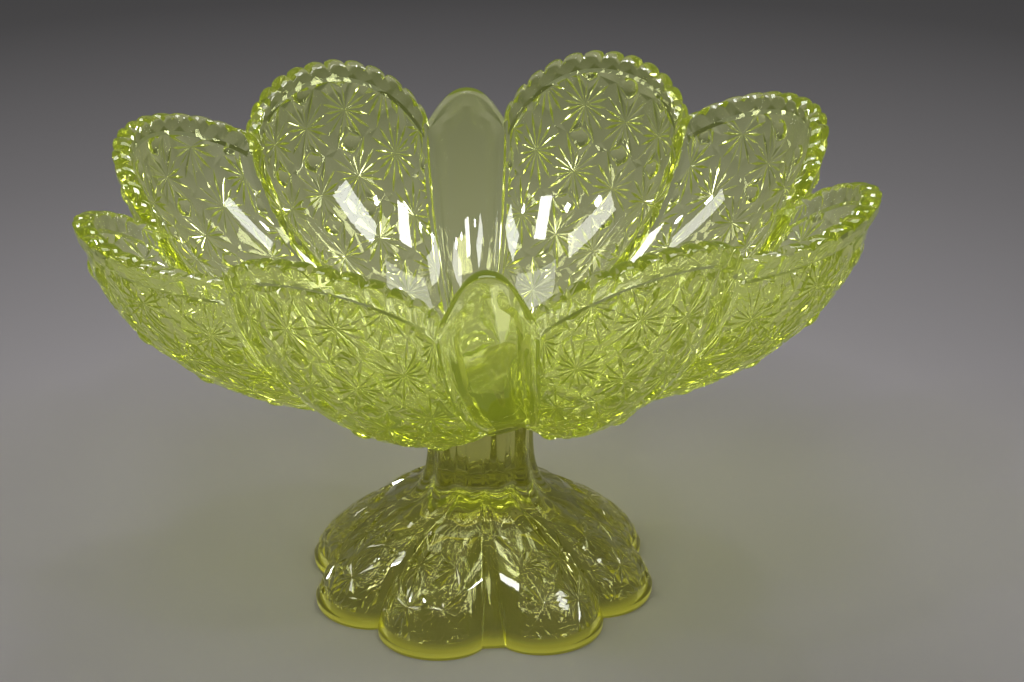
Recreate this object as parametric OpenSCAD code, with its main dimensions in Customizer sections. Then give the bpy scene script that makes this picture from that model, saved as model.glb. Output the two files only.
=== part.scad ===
// Footed dish of pressed uranium glass: an oval bowl of eight scalloped petals with a plain
// panel at the front and back, a joining wafer, and a stem on a hollow lobed foot.
// The origin is where the stem's axis meets the table. Front is -Y, up is +Z.

/* [Bowl] */
// Degrees that the bowl is turned on its stem, towards +X at the front
bowl_turn = 3; // [0:1:10]
// Degrees that the rim leans, lower at -X
rim_lean = 1.1; // [0:0.1:3]
// How far the bowl sits off the stem's axis, towards -X
bowl_shift = 1; // [0:0.2:1.4]
// Radius of the collar under the bowl, where the wafer takes it
collar_r = 16; // [13:0.5:17]
// Height of that collar above the table
collar_z = 58; // [50:1:66]
// Thickness of the glass wall
wall = 5; // [4:0.5:7]
// Thickness of the glass in the middle of the bowl
floor_t = 6; // [5:0.5:8]
// How far the wall has curved up by the rim, in degrees: 90 would stand upright
wall_sweep = 84; // [70:1:88]

/* [Petals] */
// Reach from the axis to the tip of the four petals beside the plain panels
end_reach = 95; // [90:1:100]
// Height of their tips above the table
end_tip_z = 133; // [126:1:140]
// Reach of the two side petals nearer the front
front_side_reach = 112; // [104:1:118]
// Height of their tips
front_side_z = 128; // [122:1:136]
// Reach of the two side petals nearer the back
back_side_reach = 106; // [102:1:114]
// Height of their tips
back_side_z = 131; // [122:1:136]
// Reach of the notch between an end petal and a side petal
corner_notch_reach = 87; // [82:1:90]
// Height of that notch
corner_notch_z = 119.5; // [112:0.5:124]
// Reach of the notch between the two petals of one side
side_notch_reach = 89; // [84:1:96]
// Height of that notch
side_notch_z = 111; // [105:0.5:118]
// How square a petal's shoulders are: 2 is round
petal_square = 2.2; // [1.8:0.1:3]
// How full a petal's outline is between its shoulders and its notches
petal_full = 1.3; // [1:0.1:2]

/* [Plain panels] */
// Degrees of the rim that a plain panel takes
panel_angle = 17.6; // [12:0.4:24]
// Reach of a panel's arched top
panel_reach = 75.5; // [72:0.5:82]
// Height of that top
panel_top_z = 127.5; // [122:0.5:133]
// Reach of the dips on either side of it
dip_reach = 79.5; // [76:0.5:84]
// Height of those dips
dip_z = 115.5; // [110:0.5:120]

/* [Stem and foot] */
// Degrees that the foot is turned, towards +X at the front
foot_turn = 5.5; // [0:0.5:10]
// Radius of the stem at its top
stem_r = 15.8; // [13:0.2:16.8]
// Radius of the stem at its waist
waist_r = 15; // [12:0.2:16.8]
// Reach of the foot's lobes
lobe_reach = 52; // [48:0.5:56]
// Reach of the notches between lobes
lobe_notch_reach = 43.5; // [40:0.5:46]
// Degrees of the foot's edge that its front and back ribs take
rib_angle = 9; // [6:0.5:14]
// Thickness of the foot's edge
foot_edge = 2.5; // [2:0.1:3.5]
// Width of the ring that the foot stands on
ring_w = 3.5; // [3:0.1:5]
// Height of the hollow under the foot
hollow_h = 30; // [24:0.5:31]

/* [Wafer] */
// Thickness of the wafer of glass between bowl and stem
wafer_t = 4; // [3:0.5:6]
// Radius of the wafer
wafer_r = 18; // [17:0.5:20]

/* [Hidden] */
glass = [0.72, 0.85, 0.15, 0.55];

petal_steps = 14;
panel_steps = 8;
wall_rings = 12;
lobe_steps = 10;
rib_steps = 4;
stem_rings = 7;
dome_rings = 8;
hollow_rings = 9;

petal_angle = (180 - panel_angle) / 4;
lobe_angle = (180 - rib_angle) / 4;
well_r = collar_r - 4;
well_z = collar_z + floor_t;
stem_top_z = collar_z - wafer_t;
waist_top_z = 0.76 * stem_top_z;
waist_z = 30;

// The shoulder where the stem's foot turns into the dome, and the pulls on the dome's curve
shoulder = [26, 26];
dome_pull = [34, 21];
skirt_pull = [lobe_reach - 3.5, 14];
// Step from the standing ring to the outside of the foot's edge
edge_step = 0.5;
// Below 1, so that the lobes show soon after the dome leaves the stem
lobe_growth = 0.8;

// How far the belly of each stretch of the wall is lifted clear of a round bowl, and how low
// down the wall that begins
belly_power = 5;
panel_lift = 6;
corner_lift = 8;
side_notch_lift = 10;
side_lift = 5;

function mix(a, b, t) = a + (b - a) * t;

// 0 at both ends of a stretch, where u is -1 and 1, and 1 in its middle
function arch(u, square, full) =
    abs(u) >= 1 ? 0 : pow(1 - pow(abs(u), square), 1 / full);

function bezier(p, t) =
    let (s = 1 - t)
    s * s * s * p[0] + 3 * s * s * t * p[1] + 3 * s * t * t * p[2] + t * t * t * p[3];

// A stretch of an edge is [angle, steps, value at its start, at its end, in its middle,
// square, full]. Points crowd towards its ends, where the outline turns fastest.
// Each point that comes back is [angle, value].
function edge_points(stretches, start) =
    let (ends = [for (i = 0, a = start; i < len(stretches); a = a + stretches[i][0], i = i + 1) a])
    [for (i = [0 : len(stretches) - 1], j = [0 : stretches[i][1] - 1])
        let (s = stretches[i],
             u = -cos(180 * j / s[1]),
             base = mix(s[2], s[3], (u + 1) / 2))
        [ends[i] + s[0] * (u + 1) / 2, mix(base, s[4], arch(u, s[5], s[6]))]];

function on_axis(angle, r, z) = [r * sin(angle), -r * cos(angle), z];

// A closed solid from a list of rings of points, from the ring that closes its underside
// to the ring that closes its top
module closed_rings(rings) {
    n = len(rings[0]);
    last = len(rings) - 1;
    sides = [for (i = [0 : last - 1], j = [0 : n - 1])
        let (a = i * n + j, b = i * n + (j + 1) % n)
        each [[a, a + n, b + n], [a, b + n, b]]];
    underside = [for (j = [0 : n - 1]) j];
    top = [for (j = [n - 1 : -1 : 0]) last * n + j];
    polyhedron(points = [for (ring = rings) each ring],
               faces = concat([underside], sides, [top]));
}

// ---- Bowl: reach, height and lift of each stretch of its rim ----

dip = [dip_reach, dip_z, panel_lift];
panel_top = [panel_reach, panel_top_z, panel_lift];
corner = [corner_notch_reach, corner_notch_z, corner_lift];
side_notch = [side_notch_reach, side_notch_z, side_notch_lift];
end_tip = [end_reach, end_tip_z, 0];
front_tip = [front_side_reach, front_side_z, side_lift];
back_tip = [back_side_reach, back_side_z, side_lift];

function petal(from, to, tip) =
    [petal_angle, petal_steps, from, to, tip, petal_square, petal_full];
panel = [panel_angle, panel_steps, dip, dip, panel_top, petal_square, 1];

rim = edge_points([
    panel,
    petal(dip, corner, end_tip), petal(corner, side_notch, front_tip),
    petal(side_notch, corner, back_tip), petal(corner, dip, end_tip),
    panel,
    petal(dip, corner, end_tip), petal(corner, side_notch, back_tip),
    petal(side_notch, corner, front_tip), petal(corner, dip, end_tip)
], bowl_turn - panel_angle / 2);

// A point of the wall under one rim point, at v from 0 at the bottom to 1 at the rim
function wall_point(at, v, start_r, start_z, inset) =
    let (reach = at[1][0] - inset,
         rim_z = at[1][1] + at[1][0] * sin(at[0]) * tan(rim_lean),
         turn = v * wall_sweep,
         out = sin(turn) / sin(wall_sweep),
         rise = (1 - cos(turn)) / (1 - cos(wall_sweep)),
         lift = at[1][2] * (1 - pow(1 - v, belly_power)) * (1 - rise))
    on_axis(at[0], mix(start_r, reach, out), mix(start_z, rim_z, rise) + lift)
        - [bowl_shift, 0, 0];

module bowl() {
    outside = [for (i = [0 : wall_rings])
        [for (at = rim) wall_point(at, i / wall_rings, collar_r, collar_z, 0)]];
    inside = [for (i = [wall_rings : -1 : 0])
        [for (at = rim) wall_point(at, i / wall_rings, well_r, well_z, wall)]];
    color(glass) closed_rings(concat(outside, inside));
}

// ---- Wafer: a round-edged disc between the stem and the collar ----

module joining_wafer() {
    color(glass) translate([0, 0, stem_top_z]) rotate_extrude($fn = 96) {
        square([wafer_r - wafer_t / 2, wafer_t]);
        translate([wafer_r - wafer_t / 2, wafer_t / 2]) circle(d = wafer_t, $fn = 32);
    }
}

// ---- Pedestal: stem, domed foot and the hollow under it ----

function lobe(from, to) = [lobe_angle, lobe_steps, from, to, lobe_reach, 2, petal_full];
rib = [rib_angle, rib_steps, lobe_notch_reach, lobe_notch_reach, lobe_notch_reach, 2, 1];
side_lobes = [for (i = [1 : 4]) lobe(lobe_notch_reach, lobe_notch_reach)];

foot_edge_points = edge_points(concat([rib], side_lobes, [rib], side_lobes),
                               foot_turn - rib_angle / 2);

stem_curve = [[stem_r, stem_top_z], [waist_r, waist_top_z], [waist_r, waist_z], shoulder];
dome_curve = [shoulder, dome_pull, skirt_pull, [lobe_reach, foot_edge]];
// The hollow's curve, from its top out to the standing ring, with radii as shares of the ring's
hollow_curve = [[0, hollow_h], [0.25, hollow_h], [0.95, 0.4 * hollow_h], [1, 0]];

// The lobes grow out of the round stem: a profile point keeps its radius at the stem and
// takes the outline's own reach at the foot's edge
function foot_point(at, profile) =
    let (grown = pow(max(0, (profile[0] - stem_r) / (lobe_reach - stem_r)), lobe_growth))
    on_axis(at[0], profile[0] * mix(1, at[1] / lobe_reach, grown), profile[1]);

function hollow_point(at, t) =
    let (profile = bezier(hollow_curve, t))
    on_axis(at[0], (at[1] - ring_w) * profile[0], profile[1]);

module pedestal() {
    hollow = [for (i = [1 : hollow_rings])
        [for (at = foot_edge_points) hollow_point(at, i / hollow_rings)]];
    ring = [for (at = foot_edge_points) on_axis(at[0], at[1] - edge_step, 0)];
    dome = [for (i = [dome_rings : -1 : 1])
        [for (at = foot_edge_points) foot_point(at, bezier(dome_curve, i / dome_rings))]];
    stem = [for (i = [stem_rings : -1 : 0])
        [for (at = foot_edge_points) foot_point(at, bezier(stem_curve, i / stem_rings))]];
    color(glass) closed_rings(concat(hollow, [ring], dome, stem));
}

bowl();
joining_wafer();
pedestal();
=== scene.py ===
import math

import bmesh
import bpy
import numpy as np
from mathutils.geometry import delaunay_2d_cdt
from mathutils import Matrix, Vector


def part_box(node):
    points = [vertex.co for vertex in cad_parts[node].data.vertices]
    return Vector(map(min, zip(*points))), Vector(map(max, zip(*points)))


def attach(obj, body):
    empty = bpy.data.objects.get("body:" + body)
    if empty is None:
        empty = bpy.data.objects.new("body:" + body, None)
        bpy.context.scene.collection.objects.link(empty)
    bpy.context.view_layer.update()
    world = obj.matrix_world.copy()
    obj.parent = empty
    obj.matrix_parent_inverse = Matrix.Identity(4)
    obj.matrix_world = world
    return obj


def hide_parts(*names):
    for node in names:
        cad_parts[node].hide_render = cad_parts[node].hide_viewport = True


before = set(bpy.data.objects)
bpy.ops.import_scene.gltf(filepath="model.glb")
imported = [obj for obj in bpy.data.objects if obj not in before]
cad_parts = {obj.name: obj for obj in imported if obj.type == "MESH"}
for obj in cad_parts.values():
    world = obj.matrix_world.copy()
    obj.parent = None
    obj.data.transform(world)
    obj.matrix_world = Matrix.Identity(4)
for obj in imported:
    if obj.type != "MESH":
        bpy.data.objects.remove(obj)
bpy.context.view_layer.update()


# ---- Pedestal ----------------------------------------------------------------------------
# One pressing of uranium glass: a fluted stem on a domed foot of eight lobes that is hollow
# underneath. The mould cuts daisy stars into the lobes and leaves a plain rib at the front
# and back. The stem's top is warmed and pressed against the joining wafer.

mm = 0.001
stem_top_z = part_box("pedestal")[1][2]
stem_r = 15.8 * mm
waist_r = 15.0 * mm
waist_top_z = 0.76 * stem_top_z
waist_z = 30 * mm
shoulder = (26 * mm, 26 * mm)
dome_pull = (34 * mm, 21 * mm)
lobe_reach = 52 * mm
lobe_notch_reach = 43.5 * mm
skirt_pull = (lobe_reach - 3.5 * mm, 14 * mm)
foot_edge = 2.5 * mm
edge_step = 0.5 * mm
ring_w = 3.5 * mm
hollow_h = 30 * mm
foot_turn = 5.5
rib_angle = 9
lobe_angle = (180 - rib_angle) / 4
lobe_growth = 0.8
outline_full = 1.3
stem_flutes = 10
flute_depth = 1.3 * mm
lobe_columns = 26
rib_columns = 10
dome_rows = 16
stem_rows = 22
hollow_rows = 16
edge_rows = 5
flute_fade = 0.2
rib_rise = 0.9 * mm
rib_cut = 1.1 * mm
weld_gap = 1e-6
crease_angle = math.radians(14)


def mix(a, b, share):
    return a + (b - a) * share


def arch(u, square, full):
    """0 at both ends of a stretch, where u is -1 and 1, and 1 in its middle."""
    return (1 - np.minimum(np.abs(u), 1) ** square) ** (1 / full)


def bezier(points, t):
    """Radius and height along a curve with these four control points."""
    a, b, c, d = [np.array(p) for p in points]
    t = np.asarray(t)[..., None]
    s = 1 - t
    at = s**3 * a + 3 * s * s * t * b + 3 * s * t * t * c + t**3 * d
    return at[..., 0], at[..., 1]


def on_axis(angle, r, z):
    """A point r from the axis; angle 0 is the front, and it grows towards +X."""
    turn, r, z = np.broadcast_arrays(np.radians(angle), r, z)
    return np.stack([r * np.sin(turn), -r * np.cos(turn), z], axis=-1)


def stretches_round(start, shapes):
    """Stretches of an outline laid end to end round the axis."""
    out = []
    for sweep, *rest in shapes:
        out.append((start, sweep, *rest))
        start += sweep
    return out


def stretch_value(stretch, angle):
    """What the outline holds at these angles of one stretch of it."""
    start, sweep, first, last, tip, square, full = stretch
    u = np.clip(2 * (np.asarray(angle) - start) / sweep - 1, -1, 1)[..., None]
    base = mix(np.array(first), np.array(last), (u + 1) / 2)
    return mix(base, np.array(tip), arch(u, square, full))


def crowded(start, sweep, columns):
    """Angles across a stretch, closer together towards its ends, where it turns fastest."""
    return start + sweep * (1 - np.cos(np.pi * np.arange(columns + 1) / columns)) / 2


def foot_surface(curve):
    """The outside of the foot along one of its two curves, from v 0 below to v 1 above."""
    def surface(stretch, angle, v):
        r, z = bezier(curve, v)
        grown = (np.maximum(r - stem_r, 0) / (lobe_reach - stem_r)) ** lobe_growth
        edge = stretch_value(stretch, angle)[..., 0]
        return on_axis(angle, r * mix(1, edge / lobe_reach, grown), z)
    return surface


def outward(surface, stretch, angle, v):
    """The direction square to the glass, away from it."""
    turn, rise = 0.01, 1e-4
    across = surface(stretch, angle + turn, v) - surface(stretch, angle - turn, v)
    up = surface(stretch, angle, v + rise) - surface(stretch, angle, v - rise)
    n = np.cross(across, up)
    return n / np.linalg.norm(n, axis=-1, keepdims=True)


chart_columns = 48
chart_rows = 96
chart_walks = 30
longest_walk = 4
# Just inside the last cell of the chart
last_cell = 1.001


class Chart:
    """A panel's glass laid out flat: x is the way across it from its middle, y the way up."""

    def __init__(self, surface, stretch, v_top):
        start, sweep = stretch[:2]
        self.angles = crowded(start, sweep, chart_columns)
        self.vs = np.linspace(0, v_top, chart_rows + 1)
        points = surface(stretch, self.angles[None, :], self.vs[:, None])
        steps = np.linalg.norm(np.diff(points, axis=1), axis=2)
        self.x = np.zeros(points.shape[:2])
        self.x[:, 1:] = np.cumsum(steps, axis=1)
        self.x -= self.x[:, [chart_columns // 2]]
        self.y = np.zeros(points.shape[:2])
        self.y[1:] = np.cumsum(np.linalg.norm(np.diff(points, axis=0), axis=2), axis=0)

    def flat(self, angle, v):
        """Where a place on the glass lies in the chart."""
        i = np.interp(angle, self.angles, np.arange(len(self.angles)))
        j = np.interp(v, self.vs, np.arange(len(self.vs)))
        i0 = np.minimum(i.astype(int), len(self.angles) - 2)
        j0 = np.minimum(j.astype(int), len(self.vs) - 2)
        fi, fj = i - i0, j - j0

        def read(t):
            low = mix(t[j0, i0], t[j0, i0 + 1], fi)
            high = mix(t[j0 + 1, i0], t[j0 + 1, i0 + 1], fi)
            return mix(low, high, fj)

        return np.stack([read(self.x), read(self.y)], axis=-1)

    def place(self, points):
        """The angle and v of points of the chart, walked to in steps of a few cells at most."""
        columns, rows = len(self.angles), len(self.vs)
        i = np.full(len(points), (columns - 1) / 2)
        j = points[:, 1] / self.y.max() * (rows - 1)
        for _ in range(chart_walks):
            i, j = np.clip(i, 0, columns - last_cell), np.clip(j, 0, rows - last_cell)
            i0, j0 = i.astype(int), j.astype(int)
            read = []
            for t in (self.x, self.y):
                a, b, c, d = t[j0, i0], t[j0, i0 + 1], t[j0 + 1, i0], t[j0 + 1, i0 + 1]
                here = mix(mix(a, b, i - i0), mix(c, d, i - i0), j - j0)
                read.append((here, mix(b - a, d - c, j - j0), mix(c - a, d - b, i - i0)))
            (x, x_i, x_j), (y, y_i, y_j) = read
            dx, dy = points[:, 0] - x, points[:, 1] - y
            area = x_i * y_j - x_j * y_i
            i = i + np.clip((dx * y_j - dy * x_j) / area, -longest_walk, longest_walk)
            j = j + np.clip((dy * x_i - dx * y_i) / area, -longest_walk, longest_walk)
        return np.stack([np.interp(i, np.arange(columns), self.angles),
                         np.interp(j, np.arange(rows), self.vs)], axis=-1)


def away_from(line, points):
    """How far each point is from a line of short steps."""
    a, b = line[:-1], line[1:]
    d = b - a
    t = ((points[:, None] - a) * d).sum(-1) / (d * d).sum(-1)
    foot = a + np.clip(t, 0, 1)[..., None] * d
    return np.linalg.norm(points[:, None] - foot, axis=-1).min(axis=1)


def moved_in(line, margin):
    """A line of an outline moved square to itself, to its left."""
    d = np.gradient(line, axis=0)
    d /= np.linalg.norm(d, axis=1, keepdims=True)
    return line + margin * np.stack([-d[:, 1], d[:, 0]], axis=1)


slack = 0.02 * mm
shortest_side = 0.5 * mm


def inset_outline(lines, margins):
    """The outline of a panel with each of its sides moved in by its own margin."""
    kept = []
    for line, margin in zip(lines, margins):
        moved = moved_in(line, margin)
        clear = np.ones(len(moved), bool)
        for other, gap in zip(lines, margins):
            clear &= away_from(other, moved) > gap - slack
        kept += list(moved[clear])
    out = [kept[0]]
    for p in kept[1:]:
        if min(np.linalg.norm(p - out[-1]), np.linalg.norm(p - out[0])) > shortest_side:
            out.append(p)
    return np.array(out)


def inside(outline, p):
    """Whether a point lies inside a closed outline."""
    a, b = outline, np.roll(outline, -1, axis=0)
    across = (a[:, 1] > p[1]) != (b[:, 1] > p[1])
    rise = np.where(across, b[:, 1] - a[:, 1], 1)
    x = a[:, 0] + (p[1] - a[:, 1]) / rise * (b[:, 0] - a[:, 0])
    return bool((across & (p[0] < x)).sum() % 2)


grain = 0.4 * mm
merge_gap = 0.3 * mm
near_parallel = 1e-15


class Cutting:
    """The creases of a panel's pattern, laid out flat, each point with its relief."""

    def __init__(self, border, border_relief):
        self.at, self.relief, self.creases, self.near = [], [], [], {}
        self.border, self.border_relief = border, border_relief
        self.corners = [self.point(p, border_relief) for p in border]
        self.crossings = [[] for _ in border]

    def point(self, p, relief, merge=0.0):
        """Adds a point, or returns one already there within the merging distance."""
        x, y = int(p[0] // grain), int(p[1] // grain)
        if merge:
            for i in range(x - 1, x + 2):
                for j in range(y - 1, y + 2):
                    for k in self.near.get((i, j), ()):
                        if math.dist(self.at[k], p) < merge:
                            return k
        self.at.append((float(p[0]), float(p[1])))
        self.relief.append(relief)
        self.near.setdefault((x, y), []).append(len(self.at) - 1)
        return len(self.at) - 1

    def crease(self, a, b):
        """A crease between two points that are already there."""
        if a != b:
            self.creases.append((a, b))

    def cut(self, p, p_relief, q, q_relief):
        """A crease from p to q, kept only where it is inside the border."""
        a, b = self.border, np.roll(self.border, -1, axis=0)
        d, e = q - p, b - a
        det = d[0] * e[:, 1] - d[1] * e[:, 0]
        det = np.where(np.abs(det) < near_parallel, near_parallel, det)
        t = ((a[:, 0] - p[0]) * e[:, 1] - (a[:, 1] - p[1]) * e[:, 0]) / det
        s = ((a[:, 0] - p[0]) * d[1] - (a[:, 1] - p[1]) * d[0]) / det
        hits = np.nonzero((t > 0) & (t < 1) & (s >= 0) & (s < 1))[0]
        stops = sorted([(0, None), (1, None)] + [(t[k], k) for k in hits], key=lambda h: h[0])
        for (t0, k0), (t1, k1) in zip(stops, stops[1:]):
            if not inside(self.border, p + d * (t0 + t1) / 2):
                continue
            ends = []
            for at, k in ((t0, k0), (t1, k1)):
                if k is None:
                    ends.append(self.point(p + d * at, mix(p_relief, q_relief, at), merge_gap))
                    continue
                ends.append(self.point(p + d * at, self.border_relief, merge_gap))
                self.crossings[k].append((s[k], ends[-1]))
            self.crease(*ends)

    def close_border(self):
        """Creases all along the border, through each point where the pattern meets it."""
        chain = []
        for corner, crossing in zip(self.corners, self.crossings):
            chain += [corner] + [i for _, i in sorted(crossing)]
        for a, b in zip(chain, chain[1:] + chain[:1]):
            self.crease(a, b)


star_rays = 16
star_depth = 0.45 * mm
leaf_depth = 0.55 * mm
leaf_half = 0.5 * mm
leaf_widest = 0.68
outline_depth = 0.3 * mm
border_groove = 0.8 * mm
button_r = 3.6 * mm
button_rise = 0.8 * mm
button_groove = 0.5 * mm
button_sides = 14
# Rings of a button's dome, from its groove inwards: share of its radius, and relief
button_rings = [(1.0, -button_groove), (0.72, 0.25 * button_rise), (0.38, 0.8 * button_rise)]
columns_each_way = 4
stray_rows = 1.5
tiny = 1e-9


def cell_reach(way, cell, fall, buttons):
    """How far a cell's centre is from its outline along a ray, and if a button's ring is there."""
    cell_w, cell_h = cell
    stops = [cell_w / 2 / max(abs(way[0]), tiny),
             cell_h / 2 / max(abs(way[1] + fall * way[0]), tiny)]
    for side in (-1, 1) if buttons else ():
        ring = np.array([0, side * cell_h / 2])
        b = way @ ring
        c = ring @ ring - button_r**2
        if b > 0 and b * b > c:
            stops.append(b - math.sqrt(b * b - c))
    return min(stops), len(stops) > 2 and stops[-1] == min(stops)


def cut_daisy(cutting, centre, cell, fall, buttons, depth):
    """One daisy star: leaf-shaped grooves that run from its middle to the cell's outline."""
    turns = [(2 * math.pi * k / star_rays, True) for k in range(star_rays)]
    for x_side in (-1, 1):
        for y_side in (-1, 1):
            x, y = x_side * cell[0] / 2, y_side * cell[1] / 2 - fall * x_side * cell[0] / 2
            turns.append((math.atan2(y, x) % (2 * math.pi), False))
    rim = []
    for turn, is_ray in sorted(turns):
        way = np.array([math.cos(turn), math.sin(turn)])
        reach, at_button = cell_reach(way, cell, fall, buttons)
        end = centre + way * reach
        end_relief = -button_groove if at_button else -outline_depth * depth if is_ray else 0
        rim.append((end, end_relief))
        if not is_ray:
            continue
        middle = centre + way * reach * leaf_widest
        aside = leaf_half * np.array([-way[1], way[0]])
        cutting.cut(centre, -star_depth * depth, middle, -leaf_depth * depth)
        cutting.cut(middle, -leaf_depth * depth, end, end_relief)
        for shore in (middle - aside, middle + aside):
            cutting.cut(centre, -star_depth * depth, shore, 0)
            cutting.cut(shore, 0, end, end_relief)
    for (p, p_relief), (q, q_relief) in zip(rim, rim[1:] + rim[:1]):
        cutting.cut(p, p_relief, q, q_relief)


def cut_daisies(cutting, cell, first, fall, reach, plain_column=None, buttons=True, depth=1):
    """Daisy stars on a leaning lattice, with a round button between each star and the one
    above it, except in the column beside the plain panel, where the stars meet."""
    for column in range(-columns_each_way, columns_each_way):
        x = (column + 0.5) * cell[0]
        has_buttons = buttons and column != plain_column
        for row in range(int(reach / cell[1]) + 2):
            centre = np.array([x, first - fall * x - row * cell[1]])
            far = np.linalg.norm(cutting.border - centre, axis=1).min() > stray_rows * cell[1]
            if far and not inside(cutting.border, centre):
                continue
            cut_daisy(cutting, centre, cell, fall, has_buttons, depth)
            if has_buttons:
                cut_button(cutting, centre + [0, cell[1] / 2])


def cut_button(cutting, centre):
    """A round button: a dome that rises out of its own ring."""
    for share, relief in button_rings:
        ring = [centre + button_r * share * np.array([math.cos(a), math.sin(a)])
                for a in np.linspace(0, 2 * math.pi, button_sides, endpoint=False)]
        for p, q in zip(ring, ring[1:] + ring[:1]):
            cutting.cut(p, relief, q, relief)
    if inside(cutting.border, centre):
        cutting.point(centre, button_rise, grain)


bead_shoulder = 0.8
link_gap = 1.0 * mm
to_mm = 1000.0
cut_gap = 1e-5
even_gap = 1e-6


def pressed_panel(surface, stretch, rows, low, high, high_v, high_relief, margins, pattern,
                  bead_line=None):
    """One panel's outside face: its pattern is laid out flat, cut into triangles along its
    creases, and pressed back on to the glass. Its sides match the panels beside it."""
    start, sweep = stretch[:2]
    end = start + sweep
    chart = Chart(surface, stretch, max(np.max(high_v), 1))
    sides = rows[1:-1]
    edge = ([(a, 0.0, 0.0) for a in low] + [(end, v, 0.0) for v in sides]
            + [(a, v, h) for a, v, h in zip(high[::-1], high_v[::-1], high_relief[::-1])]
            + [(start, v, 0.0) for v in sides[::-1]])
    edge = np.array(edge)
    edge_flat = chart.flat(edge[:, 0], edge[:, 1])
    lines = [chart.flat(low, np.zeros(len(low))), chart.flat(np.full(len(rows), end), rows),
             chart.flat(high[::-1], np.ones(len(high))),
             chart.flat(np.full(len(rows), start), rows[::-1])]
    cutting = Cutting(inset_outline(lines, margins), -border_groove)
    pattern(cutting)
    cutting.close_border()
    top_start = len(low) + len(sides)
    links = []
    if bead_line is not None:
        land, cusps, half_bead = bead_line
        moved = moved_in(lines[2], land)
        half = moved_in(lines[2], land / 2)
        clear = np.ones(len(moved), bool)
        for side in (1, 3):
            clear &= away_from(lines[side], moved) > link_gap
        clear &= away_from(lines[2], moved) > land - slack
        last = None
        for k in range(len(moved)):
            if not clear[k]:
                last = None
                continue
            here = cutting.point(moved[k], 0.0)
            if last is not None:
                cutting.crease(last, here)
            last = here
            if k in cusps:
                links.append((top_start + k, here))
            elif (k + half_bead) in cusps:
                cutting.point(half[k], high_relief[::-1][k] * bead_shoulder)
    count = len(edge)
    flat = [tuple(p) for p in edge_flat] + [tuple(p) for p in cutting.at]
    relief = np.array(list(edge[:, 2]) + cutting.relief)
    creases = [(a + count, b + count) for a, b in cutting.creases]
    creases += [(a, b + count) for a, b in links]
    out, _, faces, origins, _, _ = delaunay_2d_cdt(
        [(x * to_mm, y * to_mm) for x, y in flat], creases, [list(range(count))], 1, cut_gap)
    where = chart.place(np.array([tuple(p) for p in out]) / to_mm)
    depth = []
    known = np.array(flat) * to_mm
    for k, p in enumerate(out):
        if origins[k]:
            i = min(origins[k])
            depth.append(relief[i])
            if i < count:
                where[k] = edge[i, :2]
        else:
            gaps = np.linalg.norm(known - np.array(p), axis=1)
            near = np.argsort(gaps)[:2]
            weight = 1 / (gaps[near] + even_gap)
            depth.append(float((relief[near] * weight).sum() / weight.sum()))
    angle, v = where[:, 0], where[:, 1]
    points = surface(stretch, angle, v) + np.array(depth)[:, None] * outward(surface, stretch, angle, v)
    return points, [tuple(f) for f in faces]


def sheet(points, around=False):
    """Faces between the rows of a grid of points, with their outsides to the right of up."""
    rows, columns = points.shape[:2]
    faces = []
    for i in range(rows - 1):
        for j in range(columns if around else columns - 1):
            a, b = i * columns + j, i * columns + (j + 1) % columns
            faces.append((a, b, b + columns, a + columns))
    return points.reshape(-1, 3), faces


def disc(ring, centre, inner=0.5):
    """A flat disc inside a ring of points."""
    middle = mix(np.array(centre), ring, inner)
    points = np.concatenate([ring, middle, [centre]])
    n = len(ring)
    faces = []
    for j in range(n):
        k = (j + 1) % n
        faces += [(j, k, n + k, n + j), (n + j, n + k, 2 * n)]
    return points, faces


def closed_piece(name, parts, material):
    """One closed mesh from its sheets, welded where their edges meet."""
    mesh = bpy.data.meshes.new(name)
    build = bmesh.new()
    for points, faces in parts:
        verts = [build.verts.new(p) for p in points]
        for face in faces:
            corners = []
            for i in face:
                if not corners or verts[i] is not corners[-1]:
                    corners.append(verts[i])
            build.faces.new(corners)
    bmesh.ops.remove_doubles(build, verts=build.verts, dist=weld_gap)
    bmesh.ops.dissolve_degenerate(build, edges=build.edges, dist=weld_gap)
    bmesh.ops.recalc_face_normals(build, faces=build.faces)
    for face in build.faces:
        face.smooth = True
    build.to_mesh(mesh)
    build.free()
    mesh.set_sharp_from_angle(angle=crease_angle)
    mesh.materials.append(material)
    piece = bpy.data.objects.new(name, mesh)
    bpy.context.scene.collection.objects.link(piece)
    return piece


peel_share = 0.08
skin_height = 0.6 * mm
wear_scale = 35


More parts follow.
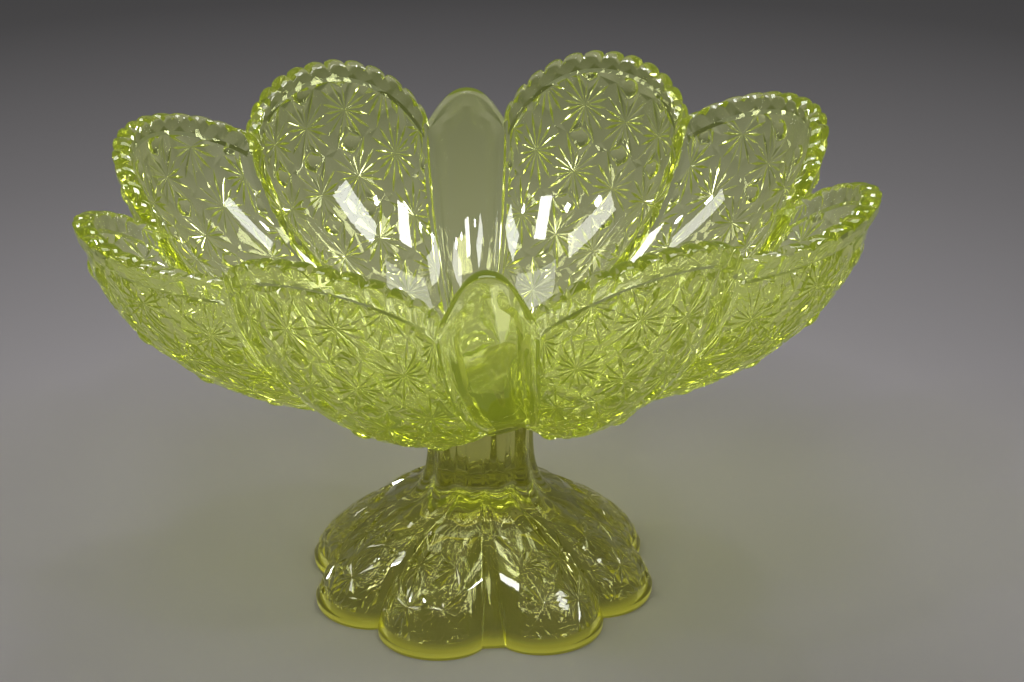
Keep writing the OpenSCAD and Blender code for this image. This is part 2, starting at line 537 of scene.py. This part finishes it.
def fire_polish_group():
    """The skin of pressed glass after the fire: slow waves left by the mould, a finer orange
    peel, and a little dust and wear where it is handled."""
    group = bpy.data.node_groups.new("fire_polish", "ShaderNodeTree")
    for label, low in (("Wave", 60.0), ("Peel", 700.0), ("Strength", 0.1),
                       ("Clean Roughness", 0.02), ("Worn Roughness", 0.1)):
        socket = group.interface.new_socket(label, in_out="INPUT", socket_type="NodeSocketFloat")
        socket.default_value = low
    group.interface.new_socket("Normal", in_out="OUTPUT", socket_type="NodeSocketVector")
    group.interface.new_socket("Roughness", in_out="OUTPUT", socket_type="NodeSocketFloat")
    group.interface.new_socket("Tint", in_out="OUTPUT", socket_type="NodeSocketFloat")
    nodes, links = group.nodes, group.links
    inputs, outputs = nodes.new("NodeGroupInput"), nodes.new("NodeGroupOutput")
    place = nodes.new("ShaderNodeTexCoord")
    wave, peel, wear = [nodes.new("ShaderNodeTexNoise") for _ in range(3)]
    wave.inputs["Detail"].default_value = 1
    peel.inputs["Detail"].default_value = 2
    wear.inputs["Scale"].default_value = wear_scale
    wear.inputs["Detail"].default_value = 6
    for noise in (wave, peel, wear):
        links.new(place.outputs["Object"], noise.inputs["Vector"])
    links.new(inputs.outputs["Wave"], wave.inputs["Scale"])
    links.new(inputs.outputs["Peel"], peel.inputs["Scale"])
    fine = nodes.new("ShaderNodeMath")
    fine.operation = "MULTIPLY_ADD"
    fine.inputs[1].default_value = peel_share
    links.new(peel.outputs["Fac"], fine.inputs[0])
    links.new(wave.outputs["Fac"], fine.inputs[2])
    bump = nodes.new("ShaderNodeBump")
    bump.inputs["Distance"].default_value = skin_height
    links.new(inputs.outputs["Strength"], bump.inputs["Strength"])
    links.new(fine.outputs[0], bump.inputs["Height"])
    links.new(bump.outputs[0], outputs.inputs["Normal"])
    rough = nodes.new("ShaderNodeMapRange")
    rough.inputs["From Min"].default_value = 0.5
    rough.inputs["From Max"].default_value = 0.72
    links.new(wear.outputs["Fac"], rough.inputs["Value"])
    links.new(inputs.outputs["Clean Roughness"], rough.inputs["To Min"])
    links.new(inputs.outputs["Worn Roughness"], rough.inputs["To Max"])
    links.new(rough.outputs[0], outputs.inputs["Roughness"])
    links.new(wave.outputs["Fac"], outputs.inputs["Tint"])
    return group


fire_polish = fire_polish_group()
thin_tints = ((0.97, 0.99, 0.86, 1), (0.94, 0.97, 0.76, 1))
# The pedestal's tints: the glass's deeper colour, darkened further as painted shade for the bowl's
# shadow on the foot
foot_tints_with_painted_shade = ((0.78, 0.78, 0.47, 1), (0.72, 0.72, 0.40, 1))
glass_body = (0.86, 0.89, 0.15, 1)
# Painted glow: an emission colour that stands in for the glass's fluorescence and lifts its brightness
painted_glow = (0.68, 0.81, 0.11, 1)
# Painted glow: bright at the foot's edge, dim over the rest of the pedestal
painted_foot_edge_glow = (0.80, 0.78, 0.05, 1)
painted_foot_inner_glow = (0.075, 0.073, 0.005, 1)
glass_ior = 1.52
# What is left of light that goes straight through one face on its way to the table
thin_shade = (0.77, 0.78, 0.68, 1)
foot_shade = (0.30, 0.30, 0.20, 1)


def painted_edge_glow(material, low, high, edge_colour, inner_colour):
    """Painted light: an emission colour bright at the foot's thin edge and dim above it, standing in
    for light that the glass carries sideways and lets out again at the edge.
    """
    nodes, links = material.node_tree.nodes, material.node_tree.links
    place = nodes.new("ShaderNodeTexCoord")
    split = nodes.new("ShaderNodeSeparateXYZ")
    fade = nodes.new("ShaderNodeMapRange")
    fade.inputs["From Min"].default_value = low
    fade.inputs["From Max"].default_value = high
    blend = nodes.new("ShaderNodeMix")
    blend.data_type = "RGBA"
    blend.inputs["A"].default_value = edge_colour
    blend.inputs["B"].default_value = inner_colour
    links.new(place.outputs["Object"], split.inputs[0])
    links.new(split.outputs["Z"], fade.inputs["Value"])
    links.new(fade.outputs[0], blend.inputs["Factor"])
    links.new(blend.outputs["Result"], nodes["Principled BSDF"].inputs["Emission Color"])


def uranium_glass(name, tints, density, shade, wave, peel, strength, clean, worn, painted_glow_strength):
    """Yellow-green glass: its colour deepens with its thickness, and a painted glow stands in for its
    fluorescence.
    """
    material = bpy.data.materials.new(name)
    material.use_nodes = True
    nodes, links = material.node_tree.nodes, material.node_tree.links
    glass = nodes["Principled BSDF"]
    output = nodes["Material Output"]
    glass.inputs["Transmission Weight"].default_value = 1.0
    glass.inputs["IOR"].default_value = glass_ior
    glass.inputs["Emission Color"].default_value = painted_glow
    glass.inputs["Emission Strength"].default_value = painted_glow_strength
    skin = nodes.new("ShaderNodeGroup")
    skin.node_tree = fire_polish
    for label, value in (("Wave", wave), ("Peel", peel), ("Strength", strength),
                         ("Clean Roughness", clean), ("Worn Roughness", worn)):
        skin.inputs[label].default_value = value
    tint = nodes.new("ShaderNodeMix")
    tint.data_type = "RGBA"
    tint.inputs["A"].default_value, tint.inputs["B"].default_value = tints
    links.new(skin.outputs["Tint"], tint.inputs["Factor"])
    links.new(tint.outputs["Result"], glass.inputs["Base Color"])
    links.new(skin.outputs["Normal"], glass.inputs["Normal"])
    links.new(skin.outputs["Roughness"], glass.inputs["Roughness"])
    body = nodes.new("ShaderNodeVolumeAbsorption")
    body.inputs["Color"].default_value = glass_body
    body.inputs["Density"].default_value = density
    links.new(body.outputs["Volume"], output.inputs["Volume"])
    path = nodes.new("ShaderNodeLightPath")
    clear = nodes.new("ShaderNodeBsdfTransparent")
    clear.inputs["Color"].default_value = shade
    pass_light = nodes.new("ShaderNodeMixShader")
    links.new(path.outputs["Is Shadow Ray"], pass_light.inputs[0])
    links.new(glass.outputs["BSDF"], pass_light.inputs[1])
    links.new(clear.outputs["BSDF"], pass_light.inputs[2])
    links.new(pass_light.outputs[0], output.inputs["Surface"])
    return material


notch, lobe_tip = [lobe_notch_reach], [lobe_reach]
rib = (rib_angle, notch, notch, notch, 2, 1)
lobe = (lobe_angle, notch, notch, lobe_tip, 2, outline_full)
half_round = [rib] + [lobe] * 4
foot_stretches = stretches_round(foot_turn - rib_angle / 2, half_round * 2)
stem_curve = [shoulder, (waist_r, waist_z), (waist_r, waist_top_z), (stem_r, stem_top_z)]
dome_curve = [(lobe_reach, foot_edge), skirt_pull, dome_pull, shoulder]
# From the top of the hollow out to the standing ring, with radii as shares of the ring's
hollow_curve = [(0, hollow_h), (0.25, hollow_h), (0.95, 0.4 * hollow_h), (1, 0)]
dome, stem = foot_surface(dome_curve), foot_surface(stem_curve)
foot_cell = (11 * mm, 13 * mm)
foot_first = 38 * mm
foot_reach = 55 * mm
foot_fall = 0.1
foot_depth = 0.6
foot_margins = (2.6 * mm, 2.0 * mm, 5.0 * mm, 2.0 * mm)
rib_margin = 4.5 * mm


def foot_columns(stretch):
    """The angles of the points across a rib or a lobe."""
    start, sweep = stretch[:2]
    return crowded(start, sweep, rib_columns if sweep == rib_angle else lobe_columns)


def foot_ring(point_at):
    """A closed ring of points round the foot from a function of stretch and angle."""
    return np.concatenate([point_at(s, foot_columns(s)[:-1]) for s in foot_stretches])


def rib_face(stretch, columns, rows):
    """The plain channel between two lobes, with a low round band up its middle."""
    angle, v = np.meshgrid(columns, rows)
    u = 2 * (angle - stretch[0]) / stretch[1] - 1
    relief = rib_rise * np.cos(u * np.pi / 2) ** 2 - rib_cut * np.sin(np.pi * np.abs(u)) ** 2
    relief = relief * np.sin(np.pi * v) ** 0.5
    points = dome(stretch, angle, v) + relief[..., None] * outward(dome, stretch, angle, v)
    return sheet(points)


def stem_face():
    """The stem, with shallow flutes that run out at the shoulder and run on at full depth up under the
    wafer.
    """
    rows = []
    for v in np.linspace(0, 1, stem_rows + 1):
        fade = min(1, v / flute_fade) ** 2

        def fluted(stretch, angle):
            turn = np.radians(angle - foot_turn) * stem_flutes
            cut = flute_depth * fade * (0.5 + 0.5 * np.cos(turn))
            return stem(stretch, angle, v) - cut[:, None] * outward(stem, stretch, angle, v)

        rows.append(foot_ring(fluted))
    return np.array(rows)


def foot_underside():
    """The foot's rounded edge, the ring it stands on, and the hollow, from outside in."""
    rows = []
    for t in np.linspace(0, 1, edge_rows + 1):
        turn = math.pi / 2 * t

        def rounded_edge(stretch, angle):
            edge = stretch_value(stretch, angle)[..., 0]
            drop = foot_edge * (1 - math.sin(turn))
            return on_axis(angle, edge - edge_step * (1 - math.cos(turn)), drop)

        rows.append(foot_ring(rounded_edge))
    for t in np.linspace(1, 0, hollow_rows + 1)[:-1]:
        share, z = bezier(hollow_curve, t)

        def hollow(stretch, angle):
            edge = stretch_value(stretch, angle)[..., 0]
            return on_axis(angle, (edge - ring_w) * share, z)

        rows.append(foot_ring(hollow))
    return rows


pedestal_parts = []
dome_v = np.linspace(0, 1, dome_rows + 1)
for k, stretch in enumerate(foot_stretches):
    columns = foot_columns(stretch)
    if stretch[1] == rib_angle:
        pedestal_parts.append(rib_face(stretch, columns, dome_v))
        continue
    fall = foot_fall if k < len(half_round) else -foot_fall
    margins = list(foot_margins)
    # The stars keep clear of the rib that a lobe has at its end or its start
    if k % len(half_round) == len(half_round) - 1:
        margins[1] = rib_margin
    if k % len(half_round) == 1:
        margins[3] = rib_margin
    pedestal_parts.append(pressed_panel(
        dome, stretch, dome_v, columns, columns, np.ones(len(columns)), np.zeros(len(columns)),
        margins, lambda c: cut_daisies(c, foot_cell, foot_first, fall, foot_reach,
                                       buttons=False, depth=foot_depth)))
stem_grid = stem_face()
pedestal_parts.append(sheet(stem_grid, around=True))
pedestal_parts.append(disc(stem_grid[-1], (0, 0, stem_top_z)))
under = foot_underside()
pedestal_parts.append(sheet(np.array(under), around=True))
pedestal_parts.append(disc(under[-1], (0, 0, hollow_h)))
pedestal_glass = uranium_glass("pedestal_glass", foot_tints_with_painted_shade, density=25, shade=foot_shade,
                               wave=70, peel=900, strength=0.12, clean=0.02, worn=0.09,
                               painted_glow_strength=0.14)
# The foot's edge is painted to glow brighter than the rest of the pedestal
painted_edge_glow(pedestal_glass, 1.0 * mm, 4.0 * mm, painted_foot_edge_glow, painted_foot_inner_glow)
pedestal = closed_piece("pedestal_of_glass", pedestal_parts, pedestal_glass)
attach(pedestal, "root")
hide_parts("pedestal")


# ---- Joining wafer -----------------------------------------------------------------------
# A small gob of hot glass dropped between the stem and the bowl to weld the two pressings.
# It squeezes out a little into a soft round bead, thicker on one side than on the other.

wafer_lo, wafer_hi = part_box("joining_wafer")
wafer_r = (wafer_hi[0] - wafer_lo[0]) / 2
wafer_t = wafer_hi[2] - wafer_lo[2]
wafer_sink = 0.06 * mm
squeeze = 0.25 * mm
squeeze_turn = 40
wafer_columns = 96
wafer_rows = 12


def wafer_ring(turn):
    """One ring of the wafer's bead, from its underside at turn -90 degrees to its top."""
    angle = np.arange(wafer_columns) * 360 / wafer_columns
    oval, ripple = np.cos(np.radians(2 * angle + squeeze_turn)), np.cos(np.radians(5 * angle))
    uneven = squeeze * (oval + 0.5 * ripple)
    bead = (wafer_t / 2 - squeeze) * np.cos(turn)
    r = wafer_r - wafer_t / 2 + bead + uneven * np.cos(turn) - squeeze
    middle_z = (wafer_lo[2] + wafer_hi[2]) / 2
    return on_axis(angle, r, middle_z + (wafer_t / 2 + wafer_sink) * np.sin(turn))


quarter = math.pi / 2
wafer_rings = np.array([wafer_ring(t) for t in np.linspace(-quarter, quarter, wafer_rows + 1)])
wafer_parts = [sheet(wafer_rings, around=True),
               disc(wafer_rings[0], (0, 0, wafer_lo[2] - wafer_sink)),
               disc(wafer_rings[-1], (0, 0, wafer_hi[2] + wafer_sink))]
# The wafer takes the pedestal's darker tints, painted shade included
wafer_glass = uranium_glass("wafer_glass", foot_tints_with_painted_shade, density=25, shade=thin_shade,
                            wave=45, peel=500, strength=0.2, clean=0.03, worn=0.08,
                            painted_glow_strength=0.02)
wafer = closed_piece("wafer_of_glass", wafer_parts, wafer_glass)
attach(wafer, "root")
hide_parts("joining_wafer")


# ---- Bowl --------------------------------------------------------------------------------
# The second pressing: eight oval petals with beaded rims, cut outside with daisy stars and
# buttons and smooth inside, and a plain panel with a thumb-shaped rib at the front and back.
# The mould's plunger leaves the inside smooth, and the fire softens every edge.

bowl_turn = 3
rim_lean = 1.1
bowl_shift = 1 * mm
collar_r = 16 * mm
collar_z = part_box("bowl")[0][2]
wall = 5 * mm
floor_t = 6 * mm
well_step = 4 * mm
well_r = collar_r - well_step
well_z = collar_z + floor_t
wall_sweep = 84
belly_power = 5
# The front panel runs down askew: degrees at its foot, and how far round that is felt
panel_drift = 22
drift_spread = 28
panel_angle = 17.6
petal_angle = (180 - panel_angle) / 4
petal_square = 2.2
# Reach from the axis, height and belly of each corner and tip of the rim
dip = [79.5 * mm, 115.5 * mm, 6 * mm]
panel_top = [75.5 * mm, 127.5 * mm, 6 * mm]
corner = [87 * mm, 119.5 * mm, 8 * mm]
side_notch = [89 * mm, 111 * mm, 10 * mm]
end_tip = [95 * mm, 133 * mm, 0]
front_tip = [112 * mm, 128 * mm, 5 * mm]
back_tip = [106 * mm, 131 * mm, 5 * mm]
wall_length = 118 * mm
bowl_rows = 40
inside_rows = 40
bead_pitch = 6.7 * mm
bead_rise = 1.9 * mm
bead_bulge = 0.6 * mm
bead_steps = 6
bead_band = 3.0 * mm
panel_columns = 44
petal_columns = 14
rim_fineness = 400
rim_step = 0.01
lip_crown = 0.9 * mm
lip_rows = 8
# The plain panel's thumb: half its width as a share of the panel's, how far under the rim it
# starts, the length of its arched top, how far it stands proud and how soft its edge is
thumb_share = 0.66
thumb_top = 11.5 * mm
thumb_arch = 7.4 * mm
thumb_rise = 0.7 * mm
thumb_soft = 0.3
# The channel on either side of it, and the two fine lines above it
channel_at = 0.82
channel_width = 0.09
channel_depth = 0.7 * mm
channel_top = 4 * mm
channel_fade = 3 * mm
fine_line_depth = 0.45 * mm
fine_line_width = 0.35 * mm
fine_lines = (3.2 * mm, 4.6 * mm)
side_fade = 8
foot_fade = 12
petal_cell = (15.0 * mm, 21.7 * mm)
petal_fall = 0.24
petal_first = 102.8 * mm
petal_reach = 120 * mm
petal_margins = (2.0 * mm, 1.5 * mm, 4.2 * mm, 1.5 * mm)


def wall_surface(start_r, start_z, inset):
    """One face of the bowl's wall, from v 0 at its bottom to v 1 at the rim."""
    def surface(stretch, angle, v):
        value = stretch_value(stretch, angle)
        reach, height, belly = value[..., 0], value[..., 1], value[..., 2]
        lean = math.tan(math.radians(rim_lean))
        rim_z = height + reach * np.sin(np.radians(angle)) * lean
        turn, full = np.radians(v * wall_sweep), math.radians(wall_sweep)
        out = np.sin(turn) / math.sin(full)
        rise = (1 - np.cos(turn)) / (1 - math.cos(full))
        lift = belly * (1 - np.clip(1 - v, 0, 1) ** belly_power) * (1 - rise)
        from_front = (np.asarray(angle) - bowl_turn + 180) % 360 - 180
        drift = panel_drift * np.clip(1 - v, 0, 1) ** 2 * np.exp(-(from_front / drift_spread) ** 2)
        r = mix(start_r, reach - inset, out)
        return on_axis(angle + drift, r, mix(start_z, rim_z, rise) + lift) - [bowl_shift, 0, 0]
    return surface


outside = wall_surface(collar_r, collar_z, 0)
inner = wall_surface(well_r, well_z, wall)


def petal(first, last, tip):
    """The stretch of one petal, from what the rim holds at its two ends and its tip."""
    return (petal_angle, first, last, tip, petal_square, outline_full)


panel = (panel_angle, dip, dip, panel_top, petal_square, 1)
bowl_stretches = stretches_round(bowl_turn - panel_angle / 2, [
    panel,
    petal(dip, corner, end_tip), petal(corner, side_notch, front_tip),
    petal(side_notch, corner, back_tip), petal(corner, dip, end_tip),
    panel,
    petal(dip, corner, end_tip), petal(corner, side_notch, back_tip),
    petal(side_notch, corner, front_tip), petal(corner, dip, end_tip)])


def rim_samples(stretch):
    """Angles along a stretch of the rim, how far each bead rises there as a share of the
    wall, and how far it bulges."""
    if stretch[1] == panel_angle:
        angles = crowded(stretch[0], stretch[1], panel_columns)
        return angles, np.ones(len(angles)), np.zeros(len(angles))
    fine = crowded(stretch[0], stretch[1], rim_fineness)
    line = outside(stretch, fine, np.ones(len(fine)))
    way = np.concatenate([[0], np.cumsum(np.linalg.norm(np.diff(line, axis=0), axis=1))])
    beads = round(way[-1] / bead_pitch)
    count = beads * bead_steps
    angles = np.interp(np.linspace(0, way[-1], count + 1), way, fine)
    angles[0], angles[-1] = stretch[0], stretch[0] + stretch[1]
    step = np.arange(count + 1) % bead_steps
    u = step / bead_steps * 2 - 1
    swell = np.where(step == 0, 0, np.sqrt(1 - u * u))
    return angles, 1 + swell * bead_rise / wall_length, swell * bead_bulge


def panel_face(stretch, columns, rows):
    """The plain panel: a rounded thumb of glass that narrows downwards, between two flutes,
    under two fine lines that follow the arch of the rim."""
    chart = Chart(outside, stretch, 1)
    angle, v = np.meshgrid(columns, rows)
    flat = chart.flat(angle.ravel(), v.ravel()).reshape(*angle.shape, 2)
    x, y = flat[..., 0], flat[..., 1]
    half = np.abs(x).max(axis=1, keepdims=True)
    from_top = y[-1][None, :] - y
    thumb_half = half * thumb_share
    over = np.clip((thumb_top - from_top) / thumb_arch, 0, 2)
    edge = np.clip((1 - (x / thumb_half) ** 2 - over**2) / thumb_soft, 0, 1)
    thumb = thumb_rise * edge * edge * (3 - 2 * edge)
    channel = -channel_depth * np.exp(-((np.abs(x) / half - channel_at) / channel_width) ** 2)
    channel = channel * np.clip((from_top - channel_top) / channel_fade, 0, 1)
    lines = sum(-fine_line_depth * np.exp(-((from_top - d) / fine_line_width) ** 2) for d in fine_lines)
    u = 2 * (angle - stretch[0]) / stretch[1] - 1
    side = np.clip((1 - np.abs(u)) * side_fade, 0, 1)
    relief = (thumb + channel + lines) * side * np.clip(v * foot_fade, 0, 1)
    relief[-1] = 0
    points = outside(stretch, angle, v) + relief[..., None] * outward(outside, stretch, angle, v)
    return sheet(points)


bowl_parts = []
half_bowl = len(bowl_stretches) // 2
low_columns = {panel_angle: panel_columns, petal_angle: petal_columns}
side_rows = np.linspace(0, 1, bowl_rows + 1)
rim_parts, inside_parts, collar_ring = [], [], []
for k, stretch in enumerate(bowl_stretches):
    angles, tops, bulge = rim_samples(stretch)
    low = crowded(stretch[0], stretch[1], low_columns[stretch[1]])
    if stretch[1] == panel_angle:
        bowl_parts.append(panel_face(stretch, angles, side_rows))
    else:
        panel_on_right = k % half_bowl in (3, 4)
        fall = -petal_fall if panel_on_right else petal_fall
        plain = 1 if panel_on_right else -2
        cusps = set(range(0, len(angles), bead_steps))
        bowl_parts.append(pressed_panel(
            outside, stretch, side_rows, low, angles, tops, bulge, petal_margins,
            lambda c: cut_daisies(c, petal_cell, petal_first, fall, petal_reach, plain_column=plain),
            bead_line=(bead_band, cusps, bead_steps // 2)))
    collar_ring.append(outside(stretch, low[:-1], np.zeros(len(low) - 1)))
    # The rim's rounded lip, from outside to inside, and the smooth inside below it
    a, t, b = angles[:-1], tops[:-1], bulge[:-1]
    edge_out = outside(stretch, a, t) + b[:, None] * outward(outside, stretch, a, t)
    edge_in = inner(stretch, a, t)
    up = outside(stretch, a, t) - outside(stretch, a, t - rim_step)
    up /= np.linalg.norm(up, axis=1, keepdims=True)
    lip = []
    for share in (1 - np.cos(np.linspace(0, np.pi, lip_rows + 1))) / 2:
        crown = lip_crown * math.sqrt(max(0, 1 - (2 * share - 1) ** 2))
        lip.append(mix(edge_out, edge_in, share) + up * crown)
    rim_parts.append(np.array(lip))
    rows = [inner(stretch, a, v * t) for v in np.linspace(1, 0, inside_rows + 1)]
    inside_parts.append(np.array(rows))
bowl_parts.append(sheet(np.concatenate(rim_parts, axis=1), around=True))
inside_grid = np.concatenate(inside_parts, axis=1)
bowl_parts.append(sheet(inside_grid, around=True))
bowl_parts.append(disc(inside_grid[-1], (-bowl_shift, 0, well_z)))
bowl_parts.append(disc(np.concatenate(collar_ring), (-bowl_shift, 0, collar_z)))
bowl_glass = uranium_glass("bowl_glass", thin_tints, density=60, shade=thin_shade,
                           wave=55, peel=800, strength=0.10, clean=0.015, worn=0.07,
                           painted_glow_strength=0.042)
bowl = closed_piece("bowl_of_glass", bowl_parts, bowl_glass)
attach(bowl, "root")
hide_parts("bowl")


# ---- Stage, lights and camera ------------------------------------------------------------
# A wide pale floor whose colour holds painted light and shade: a painted shadow under the dish, a
# painted pool of light round it and painted dark further out; soft boxes above the front and both
# sides, and a long lens that looks down into the bowl.

floor_half = 4.0
floor_cells = 9
floor_grid = np.array([[(x, y, 0.0) for x in np.linspace(-floor_half, floor_half, floor_cells)]
                       for y in np.linspace(-floor_half, floor_half, floor_cells)])
floor_points, floor_faces = sheet(floor_grid)
floor_mesh = bpy.data.meshes.new("floor")
floor_mesh.from_pydata([tuple(p) for p in floor_points], [], floor_faces)
floor = bpy.data.objects.new("floor", floor_mesh)
bpy.context.scene.collection.objects.link(floor)
floor_painted_light = bpy.data.materials.new("floor_painted_light")
floor_painted_light.use_nodes = True
paint_nodes, paint_links = floor_painted_light.node_tree.nodes, floor_painted_light.node_tree.links
paint = paint_nodes["Principled BSDF"]
paint.inputs["Roughness"].default_value = 0.85
where = paint_nodes.new("ShaderNodeTexCoord")
distance = paint_nodes.new("ShaderNodeVectorMath")
distance.operation = "LENGTH"
ramp = paint_nodes.new("ShaderNodeValToRGB")
paint_links.new(where.outputs["Object"], distance.inputs[0])
paint_links.new(distance.outputs["Value"], ramp.inputs[0])
paint_links.new(ramp.outputs["Color"], paint.inputs["Base Color"])
# The floor's colour by distance from the dish: painted shadow under it, a painted pool of light round
# it, painted dark far out
paint_cast = np.array((1.0, 0.94, 0.98))
painted_shadow_under_dish = 0.070
painted_dark_far_away = 0.006
ramp.color_ramp.elements[0].color = (*(painted_shadow_under_dish * paint_cast), 1)
ramp.color_ramp.elements[1].color = (*(painted_dark_far_away * paint_cast), 1)
for metres, shade in ((0.12, 0.090), (0.20, 0.108), (0.38, 0.064), (0.62, 0.020)):
    stop = ramp.color_ramp.elements.new(metres)
    stop.color = (*(shade * paint_cast), 1)
floor_mesh.materials.append(floor_painted_light)


def soft_box(name, at, aim, size, power, colour=(1, 1, 1)):
    """A rectangular soft light at a place, aimed at another."""
    light = bpy.data.lights.new(name, "AREA")
    light.shape = "RECTANGLE"
    light.size, light.size_y = size
    light.energy = power
    light.color = colour
    lamp = bpy.data.objects.new(name, light)
    bpy.context.scene.collection.objects.link(lamp)
    lamp.location = at
    lamp.visible_camera = False
    way = np.array(aim) - np.array(at)
    lamp.rotation_euler = (math.atan2(math.hypot(way[0], way[1]), -way[2]), 0,
                           math.atan2(way[1], way[0]) - math.pi / 2)
    return lamp


dish_middle = (0, 0, 0.08)
warm_white = (1.0, 0.99, 0.97)
cool_white = (0.98, 0.99, 1.0)
soft_box("front_window", (-0.1, -0.66, 1.6), dish_middle, (0.35, 0.6), 15, warm_white)
soft_box("right_window", (0.95, -0.3, 1.35), dish_middle, (0.4, 0.7), 11, cool_white)
soft_box("left_window", (-0.95, 0.0, 1.25), dish_middle, (0.35, 0.7), 7, warm_white)
# Four small bare lamps, which the cut facets break into sparkles
bowl_rim = (0, 0, 0.1)
for at in ((-0.6, -0.5, 1.3), (0.5, -0.6, 1.2), (0.25, 0.4, 1.5), (-0.9, -0.2, 1.0)):
    soft_box("sparkle_lamp", at, bowl_rim, (0.09, 0.09), 4)
soft_box("overhead", (0.0, 0.35, 1.5), (0, 0, 0), (1.0, 0.6), 8)

room = bpy.data.worlds.new("room")
bpy.context.scene.world = room
room.use_nodes = True
room.node_tree.nodes["Background"].inputs["Color"].default_value = (0.80, 0.80, 0.82, 1)
room.node_tree.nodes["Background"].inputs["Strength"].default_value = 0.16

camera_data = bpy.data.cameras.new("camera")
camera = bpy.data.objects.new("camera", camera_data)
bpy.context.scene.collection.objects.link(camera)
camera_tilt = math.radians(24.35)
camera_far = 679.5 * mm
camera_side = 9.2 * mm
aim_z = 76.4 * mm
camera.location = (camera_side, -camera_far * math.cos(camera_tilt),
                   aim_z + camera_far * math.sin(camera_tilt))
camera.rotation_euler = (math.pi / 2 - camera_tilt, 0, 0)
camera_data.sensor_width = 36
camera_data.lens = 83.2
camera_data.clip_start = 0.01
bpy.context.scene.camera = camera
bpy.context.scene.view_settings.view_transform = "Standard"
bpy.context.scene.cycles.max_bounces = 20
bpy.context.scene.cycles.transmission_bounces = 20
